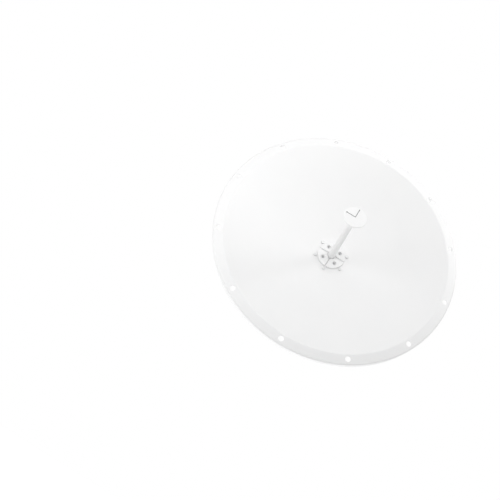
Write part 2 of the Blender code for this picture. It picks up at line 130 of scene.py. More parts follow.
def turnedSurface(radii, heights, steps, closed=False):
    # point = (r cos a, r sin a, h). r and h are a profile, or a table of stations by angles
    angle = fullTurn(steps)
    r, h = (np.asarray(part, float) for part in (radii, heights))
    r, h = (part[:, None] if part.ndim == 1 else part for part in (r, h))
    r, h, angle = np.broadcast_arrays(r, h, angle[None, :])
    return gridSurface(np.stack((r * np.cos(angle), r * np.sin(angle), h), -1), closed, True)


def rounded(corners, radii, steps=4, closed=True):
    # a line whose corners are arcs. An arc's centre is radius / sin(half angle) from its corner
    corners = np.array(corners, float)
    radii = np.broadcast_to(radii, len(corners))
    points = []
    for i, (here, radius) in enumerate(zip(corners, radii)):
        isEnd = not closed and i in (0, len(corners) - 1)
        if isEnd or radius == 0:
            points.append(here[None])
            continue
        before, after = corners[i - 1] - here, corners[(i + 1) % len(corners)] - here
        before, after = before / np.hypot(*before), after / np.hypot(*after)
        half = math.acos(np.clip(before @ after, -1, 1)) / 2
        middle = before + after
        centre = here + middle / np.hypot(*middle) * radius / math.sin(half)
        first = here + before * radius / math.tan(half) - centre
        last = here + after * radius / math.tan(half) - centre
        sweep = math.atan2(first[0] * last[1] - first[1] * last[0], first @ last)
        turn = sweep * np.linspace(0, 1, steps + 1)
        points.append(centre + np.column_stack((first[0] * np.cos(turn) - first[1] * np.sin(turn),
                                                first[0] * np.sin(turn) + first[1] * np.cos(turn))))
    return np.concatenate(points)


def fullTurn(steps):
    return np.linspace(0, 2 * math.pi, steps, endpoint=False)


def polar(radius, angle):
    return np.column_stack((radius * np.cos(angle), radius * np.sin(angle)))


def circle(u, v, radius, steps):
    return (u, v) + polar(radius, fullTurn(steps))


def rectangle(halfU, halfV, corner, steps):
    return rounded([(-halfU, -halfV), (halfU, -halfV), (halfU, halfV), (-halfU, halfV)], corner, steps)


def ringPlaces(count, radius, start):
    return polar(radius, np.radians(start) + 2 * math.pi * np.arange(count) / count)


def inset(loop, distance):
    # moves a closed loop to its left, which is into the material, with mitred corners
    along = np.roll(loop, -1, axis=0) - loop
    along = along / np.hypot(along[:, 0], along[:, 1])[:, None]
    left = np.column_stack((-along[:, 1], along[:, 0]))
    both = left + np.roll(left, 1, axis=0)
    return loop + distance * both * 2 / (both ** 2).sum(axis=1)[:, None]


def wall(loop, stations):
    # the loop carried through (inset, height) stations
    rows = [np.column_stack((inset(loop, distance), np.full(len(loop), height)))
            for distance, height in stations]
    return gridSurface(np.stack(rows), closedColumns=True)


def isInside(points, loop):
    # even-odd rule: how often a line from the point towards +u crosses the loop
    a, b = loop, np.roll(loop, -1, axis=0)
    u, v = points[:, 0][:, None], points[:, 1][:, None]
    spans = (a[:, 1] > v) != (b[:, 1] > v)
    rise = np.where(b[:, 1] == a[:, 1], 1.0, b[:, 1] - a[:, 1])
    crossing = a[:, 0] + (v - a[:, 1]) / rise * (b[:, 0] - a[:, 0])
    return (spans & (u < crossing)).sum(axis=1) % 2 == 1


def cap(loops, distance, height, creases=()):
    # triangles between an outer loop and its holes, each moved into the material by the distance
    moved = [inset(loop, distance) for loop in loops]
    points = np.concatenate(moved)
    starts = np.cumsum([0] + [len(loop) for loop in moved])
    edges = [(start + i, start + (i + 1) % len(loop))
             for loop, start in zip(moved, starts) for i in range(len(loop))]
    for crease in creases:
        ends = np.flatnonzero(np.abs(loops[0][:, 0] - crease) < near["crease"])
        edges.append((int(ends.min()), int(ends.max())))
    flat, _, triangles, _, _, _ = delaunay_2d_cdt(points.tolist(), edges, [], 1, near["flat"])
    flat, triangles = np.array(flat), np.array(triangles)
    middles = flat[triangles].mean(axis=1)
    kept = isInside(middles, moved[0])
    for hole in moved[1:]:
        kept &= ~isInside(middles, hole)
    return np.column_stack((flat, np.full(len(flat), height))), triangles[kept]


def edgeArc(across, along, height, outwards=False):
    # (inset, height) stations on a quarter circle, from a flat to the side, or outwards to a flat
    turn = np.linspace(0, math.pi / 2, 4)
    inwards, rise = 1 - np.sin(turn), 1 - np.cos(turn)
    if outwards:
        inwards, rise = rise, inwards
    return list(zip(across * inwards, height + along * rise))


def bothEdges(beside, edge, low, high):
    # stations from the low flat around both rounded edges to the high flat
    return [(beside, low)] + edgeArc(edge, edge, low) + edgeArc(edge, -edge, high, True) + [(beside, high)]


def sheetSurfaces(outer, holes, low, high, edge, creases=(), besideEdge=1.7):
    # a flat sheet from w = low to w = high. Its edges are quarter circles, with a ring beside them that keeps
    # the flat's shading flat
    beside = edge * besideEdge
    loops = [outer] + [hole[::-1] for hole in holes]
    surfaces = [wall(loop, bothEdges(beside, edge, low, high)) for loop in loops]
    return surfaces + [cap(loops, beside, height, creases) for height in (low, high)]


def foldPath(corners, radius, steps=8):
    # the line of a folded sheet's middle, with the length along it and its heading at each point
    line = rounded(corners, radius, steps, closed=False)
    along = np.diff(line, axis=0)
    station = np.concatenate(([0.0], np.cumsum(np.hypot(along[:, 0], along[:, 1]))))
    heading = np.unwrap(np.arctan2(along[:, 1], along[:, 0]))
    return line, station, np.concatenate((heading[:1], (heading[1:] + heading[:-1]) / 2, heading[-1:]))


def folded(surfaces, path):
    # (u, v, w) goes to the path's point at length u, moved by w to the heading's left, at height v
    line, station, heading = path
    made = []
    for points, faces in surfaces:
        u, v, w = points.T
        angle = np.interp(u, station, heading)
        x = np.interp(u, station, line[:, 0]) - w * np.sin(angle)
        y = np.interp(u, station, line[:, 1]) + w * np.cos(angle)
        made.append((np.column_stack((x, y, v)), faces))
    return made


def foldedSheet(outline, holes, thick, edge, path):
    # a flat sheet with a crease at each point of the path's bends, laid along the path
    creases = path[1][1:-1]
    flat = sheetSurfaces(splitAt(outline, creases), holes, -thick / 2, thick / 2, edge, creases)
    return folded(flat, path)


def splitAt(loop, creases):
    # adds a point wherever a side of the loop crosses a crease
    points = []
    for here, after in zip(loop, np.roll(loop, -1, axis=0)):
        points.append(here)
        low, high = sorted((here[0], after[0]))
        inside = [crease for crease in creases if low + near["crease"] < crease < high - near["crease"]]
        for crease in sorted(inside, reverse=bool(after[0] < here[0])):
            points.append(here + (after - here) * (crease - here[0]) / (after[0] - here[0]))
    return np.array(points)


# Finishes, one for each slot of the record, and a darker zinc, painted shade for the screws deep in the
# feed's pockets. Tones, gloss and relief follow grains, with a size in metres, then two tones, two
# roughnesses, or detail and depth

zinc = dict(roughness=0.48, gloss=(0.0015, 0.4, 0.56), relief=(0.0005, 2.0, 0.00001))
plainFinishes = dict(
    # powder coat: faint orange peel, a little more gloss here and there
    white_paint=dict(colour=(0.86, 0.86, 0.86), roughness=0.42, metallic=0.0,
                     tones=(0.11, (0.856, 0.857, 0.858), (0.863, 0.863, 0.862)),
                     gloss=(0.03, 0.38, 0.46), relief=(0.0022, 1.0, 0.00004)),
    # moulded plastic: even colour, fine spark-eroded texture
    white_plastic=dict(colour=(0.85, 0.85, 0.85), roughness=0.42, metallic=0.0,
                       tones=(0.02, (0.846, 0.847, 0.849), (0.856, 0.856, 0.855)),
                       gloss=(0.006, 0.38, 0.46), relief=(0.0006, 2.0, 0.00001)),
    # zinc: clouded, with fine tool marks. Bright on the bolts. A darker copy on the feed's small screws
    # paints the shade of their deep pockets
    zinc_steel=dict(zinc, colour=(0.72, 0.73, 0.74), tones=(0.004, (0.72, 0.73, 0.74), (0.82, 0.82, 0.81))),
    # painted shade: the same zinc, darker, for the screws that sit deep in the feed's pockets
    paintedShadeZinc=dict(zinc, colour=(0.5, 0.51, 0.53), tones=(0.004, (0.5, 0.51, 0.53), (0.62, 0.62, 0.61))),
    # sand-cast alloy, skimmed: grainy, satin
    cast_alloy=dict(colour=(0.66, 0.66, 0.67), roughness=0.45,
                    tones=(0.008, (0.6, 0.605, 0.61), (0.7, 0.7, 0.7)),
                    gloss=(0.002, 0.4, 0.54), relief=(0.0009, 3.0, 0.00005)),
    # nickel plate
    nickel=dict(colour=(0.75, 0.73, 0.68), roughness=0.22,
                gloss=(0.002, 0.17, 0.3), relief=(0.0006, 3.0, 0.000006)),
    # printed lines
    black_print=dict(colour=(0.03, 0.03, 0.03), roughness=0.55, metallic=0.0,
                     tones=(0.0008, (0.025, 0.025, 0.026), (0.045, 0.045, 0.045)), gloss=(0.001, 0.48, 0.62)))
# hot-dip zinc: cells of about 9 mm with wavy borders, each with its own tone and gloss
spangled = dict(colour=(0.58, 0.59, 0.6), roughness=0.48, tones=((0.5, 0.515, 0.53), (0.68, 0.685, 0.69)),
                gloss=(0.36, 0.56), cellScale=110, waveScale=140, wave=0.006, cellDepth=0.00012,
                cellStrength=0.5, grain=0.0012, grainDepth=0.00002)
finishes = {}


def setInputs(tree, node, values):
    # a socket is linked to the input, and a number or a colour becomes its value
    for name, value in values.items():
        if isinstance(value, bpy.types.NodeSocket):
            tree.links.new(value, node.inputs[name])
        else:
            node.inputs[name].default_value = value


def addNode(tree, kind, values=None, **settings):
    made = tree.nodes.new("ShaderNode" + kind)
    for name, value in settings.items():
        setattr(made, name, value)
    setInputs(tree, made, values or {})
    return made


def newFinish(slotName, colour, roughness, metallic):
    made = bpy.data.materials.new(slotName + "Finish")
    made.use_nodes = True
    tree = made.node_tree
    shader = tree.nodes["Principled BSDF"]
    setInputs(tree, shader, {"Base Color": (*colour, 1), "Roughness": roughness, "Metallic": metallic})
    finishes[slotName] = made
    return tree, shader, addNode(tree, "TexCoord").outputs["Object"]


def grain(tree, where, size, detail=3.0):
    # noise whose blotches are about size across, from 0 to 1
    return addNode(tree, "TexNoise", {"Scale": 1 / size, "Detail": detail, "Vector": where}).outputs["Fac"]


def spread(tree, value, low, high, fromLow=0.3, fromHigh=0.7):
    # stretches a grain to the range low to high
    limits = {"From Min": fromLow, "From Max": fromHigh, "To Min": low, "To Max": high, "Value": value}
    return addNode(tree, "MapRange", limits).outputs["Result"]


def tint(tree, value, dark, light):
    tones = {"A": (*dark, 1), "B": (*light, 1), "Factor": value}
    return addNode(tree, "Mix", tones, data_type="RGBA").outputs["Result"]


def relief(tree, value, depth, strength=1.0, under=None):
    made = addNode(tree, "Bump", {"Distance": depth, "Strength": strength, "Height": value})
    if under:
        setInputs(tree, made, {"Normal": under})
    return made.outputs["Normal"]


def makeSpangled():
    s = spangled
    tree, shader, where = newFinish("galvanised_steel", s["colour"], s["roughness"], 1.0)
    noise = addNode(tree, "TexNoise", {"Scale": s["waveScale"], "Vector": where})
    wavy = addNode(tree, "VectorMath", {0: noise.outputs["Color"], 1: (s["wave"],) * 3, 2: where},
                   operation="MULTIPLY_ADD")
    cells = addNode(tree, "TexVoronoi", {"Scale": s["cellScale"], "Vector": wavy.outputs["Vector"]})
    tone = addNode(tree, "SeparateColor", {"Color": cells.outputs["Color"]})
    fine = relief(tree, grain(tree, where, s["grain"]), s["grainDepth"])
    setInputs(tree, shader, {
        "Base Color": tint(tree, tone.outputs["Red"], *s["tones"]),
        "Roughness": spread(tree, tone.outputs["Green"], *s["gloss"], 0.0, 1.0),
        "Normal": relief(tree, cells.outputs["Distance"], s["cellDepth"], s["cellStrength"], fine)})


def makeFinishes():
    for name, s in plainFinishes.items():
        tree, shader, where = newFinish(name, s["colour"], s["roughness"], s.get("metallic", 1.0))
        size, smooth, rough = s["gloss"]
        made = {"Roughness": spread(tree, grain(tree, where, size), smooth, rough)}
        if "tones" in s:
            size, dark, light = s["tones"]
            made["Base Color"] = tint(tree, spread(tree, grain(tree, where, size), 0, 1), dark, light)
        if "relief" in s:
            size, detail, depth = s["relief"]
            made["Normal"] = relief(tree, grain(tree, where, size, detail), depth)
        setInputs(tree, shader, made)
    makeSpangled()
    print("finishes made:", ", ".join(finishes))


# Reflector: the bowl, its flat rim with twelve holes and the turned-back lip, one shell

reflector = dict(
    front=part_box("reflector")[0].y, outerRadius=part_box("reflector")[1].x,
    innerRadius=0.4825, focalLength=0.345, shell=0.0025, rollRadius=0.006, lipDepth=0.028,
    hubRadius=0.088, centreHole=0.0334, creaseBlend=0.0008, hubBlend=0.0003,
    sectors=12, columnsPerSector=24, rimPatchAngle=1.432, evenBelow=0.36, fannedAbove=0.465, slopeStep=1e-6)
# rings of holes: how many, on what circle, from what angle, their radius, and the square patch of grid around
# each, by half its width and its columns
holeRings = (
    dict(count=12, circle=0.5, start=0, radius=0.0105, half=0.0125, columns=8),
    dict(count=6, circle=0.073, start=30, radius=0.0044, half=0.0064, columns=8),
    dict(count=4, circle=0.041, start=45, radius=0.0029, half=0.0044, columns=10))
# rows of the front, as (radius reached, steps to it)
reflectorRows = ((0.0366, 2), (0.0454, 10), (0.0666, 4), (0.0794, 8), (0.098, 12), (0.466, 27),
                 (0.4875, 20), (0.5125, 8), (0.5155, 2), (0.517, 2))


def softMaximum(a, b, blend):
    return blend * np.logaddexp(a / blend, b / blend)


def bowlFront(r):
    # a paraboloid, held by a soft minimum at the flat hub's depth and by a soft maximum behind the rim
    s = reflector
    parabola, hub = (s["front"] + (s["innerRadius"] ** 2 - here ** 2) / (4 * s["focalLength"])
                     for here in (r, s["hubRadius"]))
    return softMaximum(-softMaximum(-parabola, -hub, s["hubBlend"]), s["front"], s["creaseBlend"])


def reflectorAngles(radii, columns):
    # even angles at the hub. Towards the rim the columns fan in to each hole, for its square patch
    s = reflector
    half = s["columnsPerSector"] // 2
    step = 360 / columns
    column = np.arange(columns)
    k = (column + half) % s["columnsPerSector"] - half
    patch = holeRings[0]["columns"] / 2
    fanned = np.interp(k, (-half, -patch, patch, half),
                       (-half * step, -s["rimPatchAngle"], s["rimPatchAngle"], half * step))
    share = np.clip((radii - s["evenBelow"]) / (s["fannedAbove"] - s["evenBelow"]), 0, 1)[:, None]
    share = share * share * (3 - 2 * share)
    return np.radians((column - k) * step + k * step * (1 - share) + fanned * share)


def makeReflector():
    s = reflector
    columns = s["sectors"] * s["columnsPerSector"]
    rim, shell, face = s["outerRadius"], s["shell"], s["front"]
    r = [np.array([s["centreHole"]])]
    for reached, steps in reflectorRows:
        r.append(np.linspace(r[-1][-1], reached, steps + 1)[1:])
    r = np.concatenate(r)
    y = bowlFront(r)
    step = s["slopeStep"]
    slope = (bowlFront(r + step) - bowlFront(r - step)) / (2 * step)
    length = np.hypot(slope, 1)
    backR, backY = r - shell * slope / length, y + shell / length

    # the lip: a quarter roll, a straight wall and a round hem, then the same back inside
    rollR, lipEnd = s["rollRadius"], face + s["lipDepth"] - shell / 2
    rollCentre, inner = rim - rollR, rollR - shell
    turn = np.linspace(0, math.pi / 2, 9)[1:]
    hem = np.linspace(0, math.pi, 9)
    straight = np.linspace(face + rollR, lipEnd, 4)[1:-1]
    lipR = np.concatenate((rollCentre + rollR * np.sin(turn), np.full(2, rim),
                           rim - shell / 2 * (1 - np.cos(hem)), np.full(2, rim - shell),
                           rollCentre + inner * np.sin(turn[::-1])))
    lipY = np.concatenate((face + rollR * (1 - np.cos(turn)), straight, lipEnd + shell / 2 * np.sin(hem),
                           straight[::-1], face + rollR - inner * np.cos(turn[::-1])))

    angle = reflectorAngles(r, columns)

    def rows(radii, heights, angles):
        return np.stack((radii[:, None] * np.cos(angles), np.repeat(heights[:, None], columns, 1),
                         radii[:, None] * np.sin(angles)), -1)

    front, back = rows(r, y, angle), rows(backR, backY, angle)
    lip = rows(lipR, lipY, np.repeat(angle[-1:], len(lipR), 0))
    points = np.concatenate((front, lip, back[::-1]))
    quads = gridQuads(len(points), columns, True, True).reshape(len(points), columns, 4)
    kept = np.ones(quads.shape[:2], bool)
    surfaces = []
    for ring in holeRings:
        n = ring["columns"]
        first = int(np.argmin(np.abs(r - (ring["circle"] - ring["half"]))))
        patchRows = first + np.arange(n + 1)
        # once around the patch, as steps along its rows and its columns
        side, start, end = np.arange(n), np.zeros(n, int), np.full(n, n)
        aroundA = np.concatenate((start, side, end, n - side))
        aroundB = np.concatenate((side, end, n - side, start))
        for u, v in ringPlaces(ring["count"], ring["circle"], ring["start"]):
            middle = round(math.degrees(math.atan2(v, u)) / 360 * columns)
            patchColumns = (middle + np.arange(n + 1) - n // 2) % columns
            kept[np.ix_(patchRows[:-1], patchColumns[:-1])] = False
            kept[np.ix_(len(points) - 2 - patchRows[:-1], patchColumns[:-1])] = False
            a, b = patchRows[aroundA], patchColumns[aroundB]
            surfaces.append(holeLining(front[a, b], back[a, b], np.array((u, 0, v)), ring["radius"]))
    surfaces.append((points.reshape(-1, 3), quads[kept]))
    addPiece("reflectorShell", surfaces, "white_paint", ["reflector"])
    print("reflector made")


def holeLining(frontLoop, backLoop, centre, radius, edge=0.0004):
    # from the square patch in to the hole's edge, through the shell and out again behind
    across = (frontLoop - centre) * (1, 0, 1)
    across = across / np.linalg.norm(across, axis=1)[:, None]
    stations = bothEdges(edge * 2, edge, frontLoop[:, 1].mean(), backLoop[:, 1].mean())
    rows = [centre * (1, 0, 1) + across * (radius + away) + np.array((0, y, 0)) for away, y in stations]
    halfway, halfwayBack = (frontLoop + rows[0]) / 2, (backLoop + rows[-1]) / 2
    return gridSurface(np.stack([frontLoop, halfway] + rows + [halfwayBack, backLoop]), closedColumns=True)


# Bolts, screws and nuts

fasteners = dict(        # thread radius, pitch, width over flats and head height
    m5=dict(radius=0.0025, pitch=0.0008, flats=0.008, head=0.0032),
    m8=dict(radius=0.0040, pitch=0.00125, flats=0.013, head=0.0053),
    m10=dict(radius=0.0050, pitch=0.0015, flats=0.017, head=0.0064))
fastenerSteps = 36
# in widths over flats: broken corners, the top's cone and flat, the head's dish and washer, a nut's flange
hexagon = dict(corner=0.567, cone=0.465, flat=0.44, dishEdge=0.31, dishFloor=0.27, washer=0.475, flange=0.62)
headDetail = dict(dish=0.0004, washer=0.0004, chamfer=0.0002)
nutDetail = dict(clearance=0.00012, flange=0.0012, flangeEdge=0.0003, flangeSlope=0.3, sink=0.0006)
button = dict(radius=0.0050, height=0.0029, skirt=0.0006, dome=(18, 78), domePower=1.3, socketFlats=0.0032,
              socketDepth=0.0018, socketEdge=0.66, threaded=0.010)
threadDepth = 0.61     # in pitches


def hexRadius(flats):
    # a hexagon's radius at each angle, its corners broken a little
    angle = fullTurn(fastenerSteps)
    return np.minimum(flats / 2 / np.cos((angle % (math.pi / 3)) - math.pi / 6), flats * hexagon["corner"])


def hexTop(flats, height):
    # where the 30 degree cone of the top meets the flats
    side = hexRadius(flats)
    return side, height - (side - flats * hexagon["cone"]) * math.tan(math.radians(30))


def turnedRows(rows, closed=False):
    # (radius, height) rows turned about w, of which some change with the angle
    r, h = (np.stack([np.broadcast_to(part, fastenerSteps) for part in parts]) for parts in zip(*rows))
    return turnedSurface(r, h, fastenerSteps, closed)


def threadSurface(radius, pitch, start, end, perTurn=6):
    # a helical sheet: row k and angle a lie at height start - pitch (k / perTurn + a / 2 pi), held between
    # start and end. The radius is a triangle wave of k, cut to a cone at the tip
    depth = pitch * threadDepth
    turns = (start - end) / pitch
    k = np.arange(-perTurn, int(perTurn * (turns + 1)) + 1)[:, None]
    a = np.linspace(0, 1, fastenerSteps + 1)[None, :]
    height = np.clip(start - pitch * (k / perTurn + a), end, start)
    wave = np.abs((k / perTurn) % 1.0 * 2 - 1)
    fadeIn = np.clip((start - height) / pitch, 0, 1)
    r = radius - depth * (1 - np.clip(wave * 1.25 - 0.1, 0, 1)) * fadeIn
    r = np.minimum(r, radius - depth + (height - end))
    angle = a * 2 * math.pi
    return gridSurface(np.stack((r * np.cos(angle), r * np.sin(angle), height), -1))


def threadedEnd(size, start, length):
    # the thread from w = start to the tip, and the tip's flat
    core = size["radius"] - size["pitch"] * threadDepth
    return [threadSurface(size["radius"], size["pitch"], start, -length),
            turnedSurface((core, 0), (-length, -length), fastenerSteps)]


def spinMatrix(turn):
    c, s = math.cos(turn), math.sin(turn)
    return np.array(((c, s, 0), (-s, c, 0), (0, 0, 1)))


def rolled(surfaces, turn):
    # turned about the piece's own w
    return [(points @ spinMatrix(turn), faces) for points, faces in surfaces]


def boltSurfaces(size, length, turn, threaded=None):
    # hexagon head above w = 0, plain shank and thread below. The usual thread is two diameters and 6 mm
    flats, head, radius = size["flats"], size["head"], size["radius"]
    side, meets = hexTop(flats, head)
    washer, washerHeight = flats * hexagon["washer"], headDetail["washer"]
    dishHeight, chamfer = head - headDetail["dish"], headDetail["chamfer"]
    start = min(length - 0.001, threaded or 4 * radius + 0.006) - length
    rows = [(0, dishHeight), (flats * hexagon["dishFloor"], dishHeight), (flats * hexagon["dishEdge"], head),
            (flats * hexagon["flat"], head), (flats * hexagon["cone"], head), (side, meets),
            (side, washerHeight + chamfer), (side * 0.985, washerHeight), (washer, washerHeight), (washer, 0),
            (radius + chamfer, 0), (radius, -chamfer), (radius, start)]
    return rolled([turnedRows(rows)] + threadedEnd(size, start, length), turn)


def nutSurfaces(size, height, turn):
    # a hexagon nut on a round flange, chamfered at the top and countersunk at both ends of its bore
    s = nutDetail
    flats, radius = size["flats"], size["radius"] + s["clearance"]
    side, meets = hexTop(flats, height)
    flange, top, edge, sink = flats * hexagon["flange"], s["flange"], s["flangeEdge"], s["sink"]
    rows = [(radius + sink, 0), (flange - edge, 0), (flange, edge), (flange, top - edge),
            (flange - edge, top), (side, top + (flange - side) * s["flangeSlope"]), (side, meets),
            (flats * hexagon["cone"], height), (flats * hexagon["flat"], height), (radius + sink, height),
            (radius, height - sink), (radius, sink)]
    return rolled([turnedRows(rows, closed=True)], turn)


def buttonScrewSurfaces(size, length, turn):
    # a domed head with a hexagon socket. The dome's height goes as a power of the cosine
    s = button
    radius, headRadius, top, skirt = size["radius"], s["radius"], s["height"], s["skirt"]
    socketSide, floor = hexRadius(s["socketFlats"]), top - s["socketDepth"]
    start = s["threaded"] - length
    dome = np.linspace(*np.radians(s["dome"]), 7)
    rows = [(0, floor - 0.0005), (socketSide, floor), (socketSide, top - 0.0001),
            (s["socketFlats"] * s["socketEdge"], top)]
    rows += [(headRadius * math.sin(a) / math.sin(dome[-1]),
              skirt + (top - skirt) * math.cos(a) ** s["domePower"]) for a in dome]
    rows += [(headRadius, 0.0004), (headRadius - 0.0002, 0), (radius, 0), (radius, start)]
    return rolled([turnedRows(rows)] + threadedEnd(size, start, length), turn)


def seatAndLength(node, facing, head=None):
    # where a head sits, from its node's box, and how far its shank reaches behind it, or, with no head given,
    # where a nut sits and how high it is
    low, high = (np.array(corner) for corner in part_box(node))
    direction = np.cross(*facings[facing])
    axis = int(np.argmax(np.abs(direction)))
    tip, top = (low[axis], high[axis]) if direction[axis] > 0 else (high[axis], low[axis])
    seat = (low + high) / 2
    seat[axis] = tip if head is None else top - direction[axis] * head
    return seat, abs(seat[axis] - (top if head is None else tip))


def makeBolt(name, node, facing, size, turn, threaded=None):
    seat, length = seatAndLength(node, facing, size["head"])
    addPiece(name, placed(boltSurfaces(size, length, turn, threaded), seat, facing), "zinc_steel", [node], 28)


def makeNut(name, node, facing, size, turn):
    seat, height = seatAndLength(node, facing)
    addPiece(name, placed(nutSurfaces(size, height, turn), seat, facing), "zinc_steel", [node], 28)


# Hub plate behind the reflector, and its bolts

hub = dict(plateRadius=0.1, bore=0.05, boltCircle=0.073, boltHole=0.0044, edge=0.0005)


def makeHub():
    s = hub
    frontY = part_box("hub_plate")[0].y
    places = ringPlaces(6, s["boltCircle"], 30)
    loops = [circle(0, 0, s["bore"], 96)] + [circle(u, v, s["boltHole"], 32) for u, v in places]
    sheet = sheetSurfaces(circle(0, 0, s["plateRadius"], 144), loops, 0, nodeDepth("hub_plate"), s["edge"])
    addPiece("hubPlate", placed(sheet, (0, frontY, 0), "back"), "galvanised_steel", ["hub_plate"])
    for i in range(1, 7):
        makeBolt(f"hubBolt{i}", f"hub_bolt_{i}", "front", fasteners["m8"], 0.7 * i)
        makeNut(f"hubNut{i}", f"hub_nut_{i}", "back", fasteners["m8"], 0.9 * i)
    print("hub made")


# Feed foot: a round base with four pads, each with a screw in its pocket

foot = dict(radius=0.064, padRadius=0.063, recess=0.0188, base=0.002, levelGroove=0.0048,
            uprightGroove=0.0024, pocket=0.0085, pocketCircle=0.041, screwHole=0.0029, padEdge=0.0016,
            padBeside=1.2, pocketEdge=0.0007, pocketBeside=1.7, fillet=0.0005, corner=0.0036,
            cornerClear=1.4, chamfer=0.0004, baseChamfer=0.0003, screwHead=0.0032)


def nodeDepth(node):
    low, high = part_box(node)
    return high.y - low.y


def addFeedPiece(name, surfaces, node, slotName="white_plastic", sharpAngle=32.0):
    # its own w runs forwards from the back of the node's box
    addPiece(name, placed(surfaces, (0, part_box(node)[1].y, 0), "front"), slotName, [node], sharpAngle)


def padOutline(besideU, besideV):
    # a quarter of the ring around the recess, kept half a groove from both axes
    s = foot

    def arc(radius, steps, backwards):
        # the end points are corners, and those between keep clear of the corners' own arcs
        first, last = math.asin(besideU / radius), math.pi / 2 - math.asin(besideV / radius)
        clear = s["corner"] * s["cornerClear"] / radius
        between = np.linspace(first + clear, last - clear, steps)
        angle = np.concatenate(([first], between, [last]))[::-1 if backwards else 1]
        return polar(radius, angle)

    outer, inner = arc(s["padRadius"], 24, False), arc(s["recess"], 6, True)
    corners = np.concatenate((outer, inner))
    radii = np.zeros(len(corners))
    radii[[0, len(outer) - 1, len(outer), len(corners) - 1]] = s["corner"]
    return rounded(corners, radii, 5)


def makeFoot():
    s = foot
    top = nodeDepth("feed_foot")
    disc = circle(0, 0, s["radius"], 144)
    pocketPlaces = ringPlaces(4, s["pocketCircle"], 45)
    holes = [circle(u, v, s["screwHole"], 24)[::-1] for u, v in pocketPlaces]
    edge, pocketEdge, fillet, base = s["padEdge"], s["pocketEdge"], s["fillet"], s["base"]
    beside, besidePocket = edge * s["padBeside"], pocketEdge * s["pocketBeside"]
    chamfer, baseChamfer = s["chamfer"], s["baseChamfer"]
    halves = (s["levelGroove"], s["uprightGroove"])
    quarters = [padOutline(*halves), padOutline(*halves[::-1])]
    pads = [quarters[i % 2] @ spinMatrix(math.pi / 2 * i)[:2, :2] for i in range(4)]
    surfaces = [cap([disc] + holes, chamfer, 0.0),
                wall(disc, [(chamfer, 0), (0, chamfer), (0, base - baseChamfer), (baseChamfer, base)]),
                cap([inset(disc, baseChamfer)] + [inset(one, -fillet)[::-1] for one in pads], 0, base)]
    # a pad's wall rises from a fillet on the base, and its edge is a quarter circle
    rise = edgeArc(-fillet, fillet, base) + edgeArc(edge, -edge, top, True) + [(beside, top)]
    sink = [(besidePocket, top)] + edgeArc(pocketEdge, -pocketEdge, top) + [(0, base)]
    for one, (u, v), hole in zip(pads, pocketPlaces, holes):
        pocket = circle(u, v, s["pocket"], 48)[::-1]
        face = cap([inset(one, beside), inset(pocket, besidePocket)], 0, top)
        surfaces += [wall(one, rise), face, wall(pocket, sink), cap([pocket[::-1], hole], 0, base),
                     wall(hole, [(0, base), (0, chamfer), (chamfer, 0)])]
    addFeedPiece("feedFoot", surfaces, "feed_foot", sharpAngle=40)
    for i in range(1, 5):
        seat, length = seatAndLength(f"feed_screw_{i}", "front", s["screwHead"])
        screw = placed(buttonScrewSurfaces(fasteners["m5"], length, 0.4 * i), seat, "front")
        # the screws wear the darker zinc, painted shade of the pockets they sit in
        addPiece(f"feedScrew{i}", screw, "zinc_steel", [f"feed_screw_{i}"], 28, "paintedShadeZinc")
    print("feed foot made")


# Feed tube, the flare at its top and the disc

feed = dict(footRadius=0.0165, topRadius=0.0105, footEdge=0.0008, topEdge=0.0004, flareFoot=0.011,
            flareTop=0.0188, flareEdge=0.0004, flareStart=0.0003, flarePower=2.2, discRadius=0.046,
            discEdge=0.0011, discBeside=1.6, lineWidth=0.0017, arrowWidth=0.0056, arrowLength=0.0055,
            lineLength=0.0415, lineEdge=0.0001)
# the corners of the printed outline, from the hub of the arrows along each of them
hubCorner, arrowCorners = 0.0003, [0.0003, 0.0004, 0.0006, 0.0004, 0.0003]


def addTurned(name, profile, node, steps=96):
    addFeedPiece(name, [turnedSurface(profile[:, 0], profile[:, 1], steps)], node)


def makeFeed():
    s = feed
    length = nodeDepth("feed_tube")
    profile = rounded([(0, 0), (s["footRadius"], 0), (s["topRadius"], length), (0, length)],
                      (0, s["footEdge"], s["topEdge"], 0), 4, False)
    between = np.linspace(profile[5], profile[6], 24)
    addTurned("feedTube", np.concatenate((profile[:5], between, profile[7:])), "feed_tube")

    # the flare's radius grows as a power of the height
    length = nodeDepth("feed_cone")
    t = np.linspace(0, 1, 17)
    flare = s["flareFoot"] + (s["flareTop"] - s["flareFoot"]) * t ** s["flarePower"]
    r = np.concatenate(([0, s["flareFoot"] - s["flareEdge"]], flare, [0]))
    h = np.concatenate(([0, 0], s["flareStart"] + (length - s["flareStart"]) * t, [length]))
    addTurned("feedFlare", np.column_stack((r, h)), "feed_cone")

    thick = nodeDepth("sub_reflector")
    edge = s["discEdge"]
    profile = rounded([(0, 0), (s["discRadius"], 0), (s["discRadius"], thick), (0, thick)],
                      (0, edge, edge, 0), 6, False)
    rings = np.array([(s["discRadius"] - edge * s["discBeside"], 0.0)])
    profile = np.concatenate((profile[:1], rings, profile[1:-1], rings + (0, thick), profile[-1:]))
    addTurned("feedDisc", profile, "sub_reflector", 144)

    # two printed arrows, up and to the left as seen from the front
    half, barb, neck = s["lineWidth"] / 2, s["arrowWidth"] / 2, s["lineLength"] - s["arrowLength"]
    up = np.array([(half, neck), (barb, neck), (0, s["lineLength"]), (-barb, neck), (-half, neck)])
    left = np.column_stack((-up[:, 1], up[:, 0]))
    corners = np.concatenate(([(half, -half)], up, [(-half, half)], left))
    outline = rounded(corners, [hubCorner] + arrowCorners + [0.0] + arrowCorners)
    lines = sheetSurfaces(outline, [], 0, nodeDepth("direction_lines"), s["lineEdge"])
    addFeedPiece("directionLines", lines, "direction_lines", "black_print")
    print("feed made")


# Feed housing behind the hub, and its two sockets

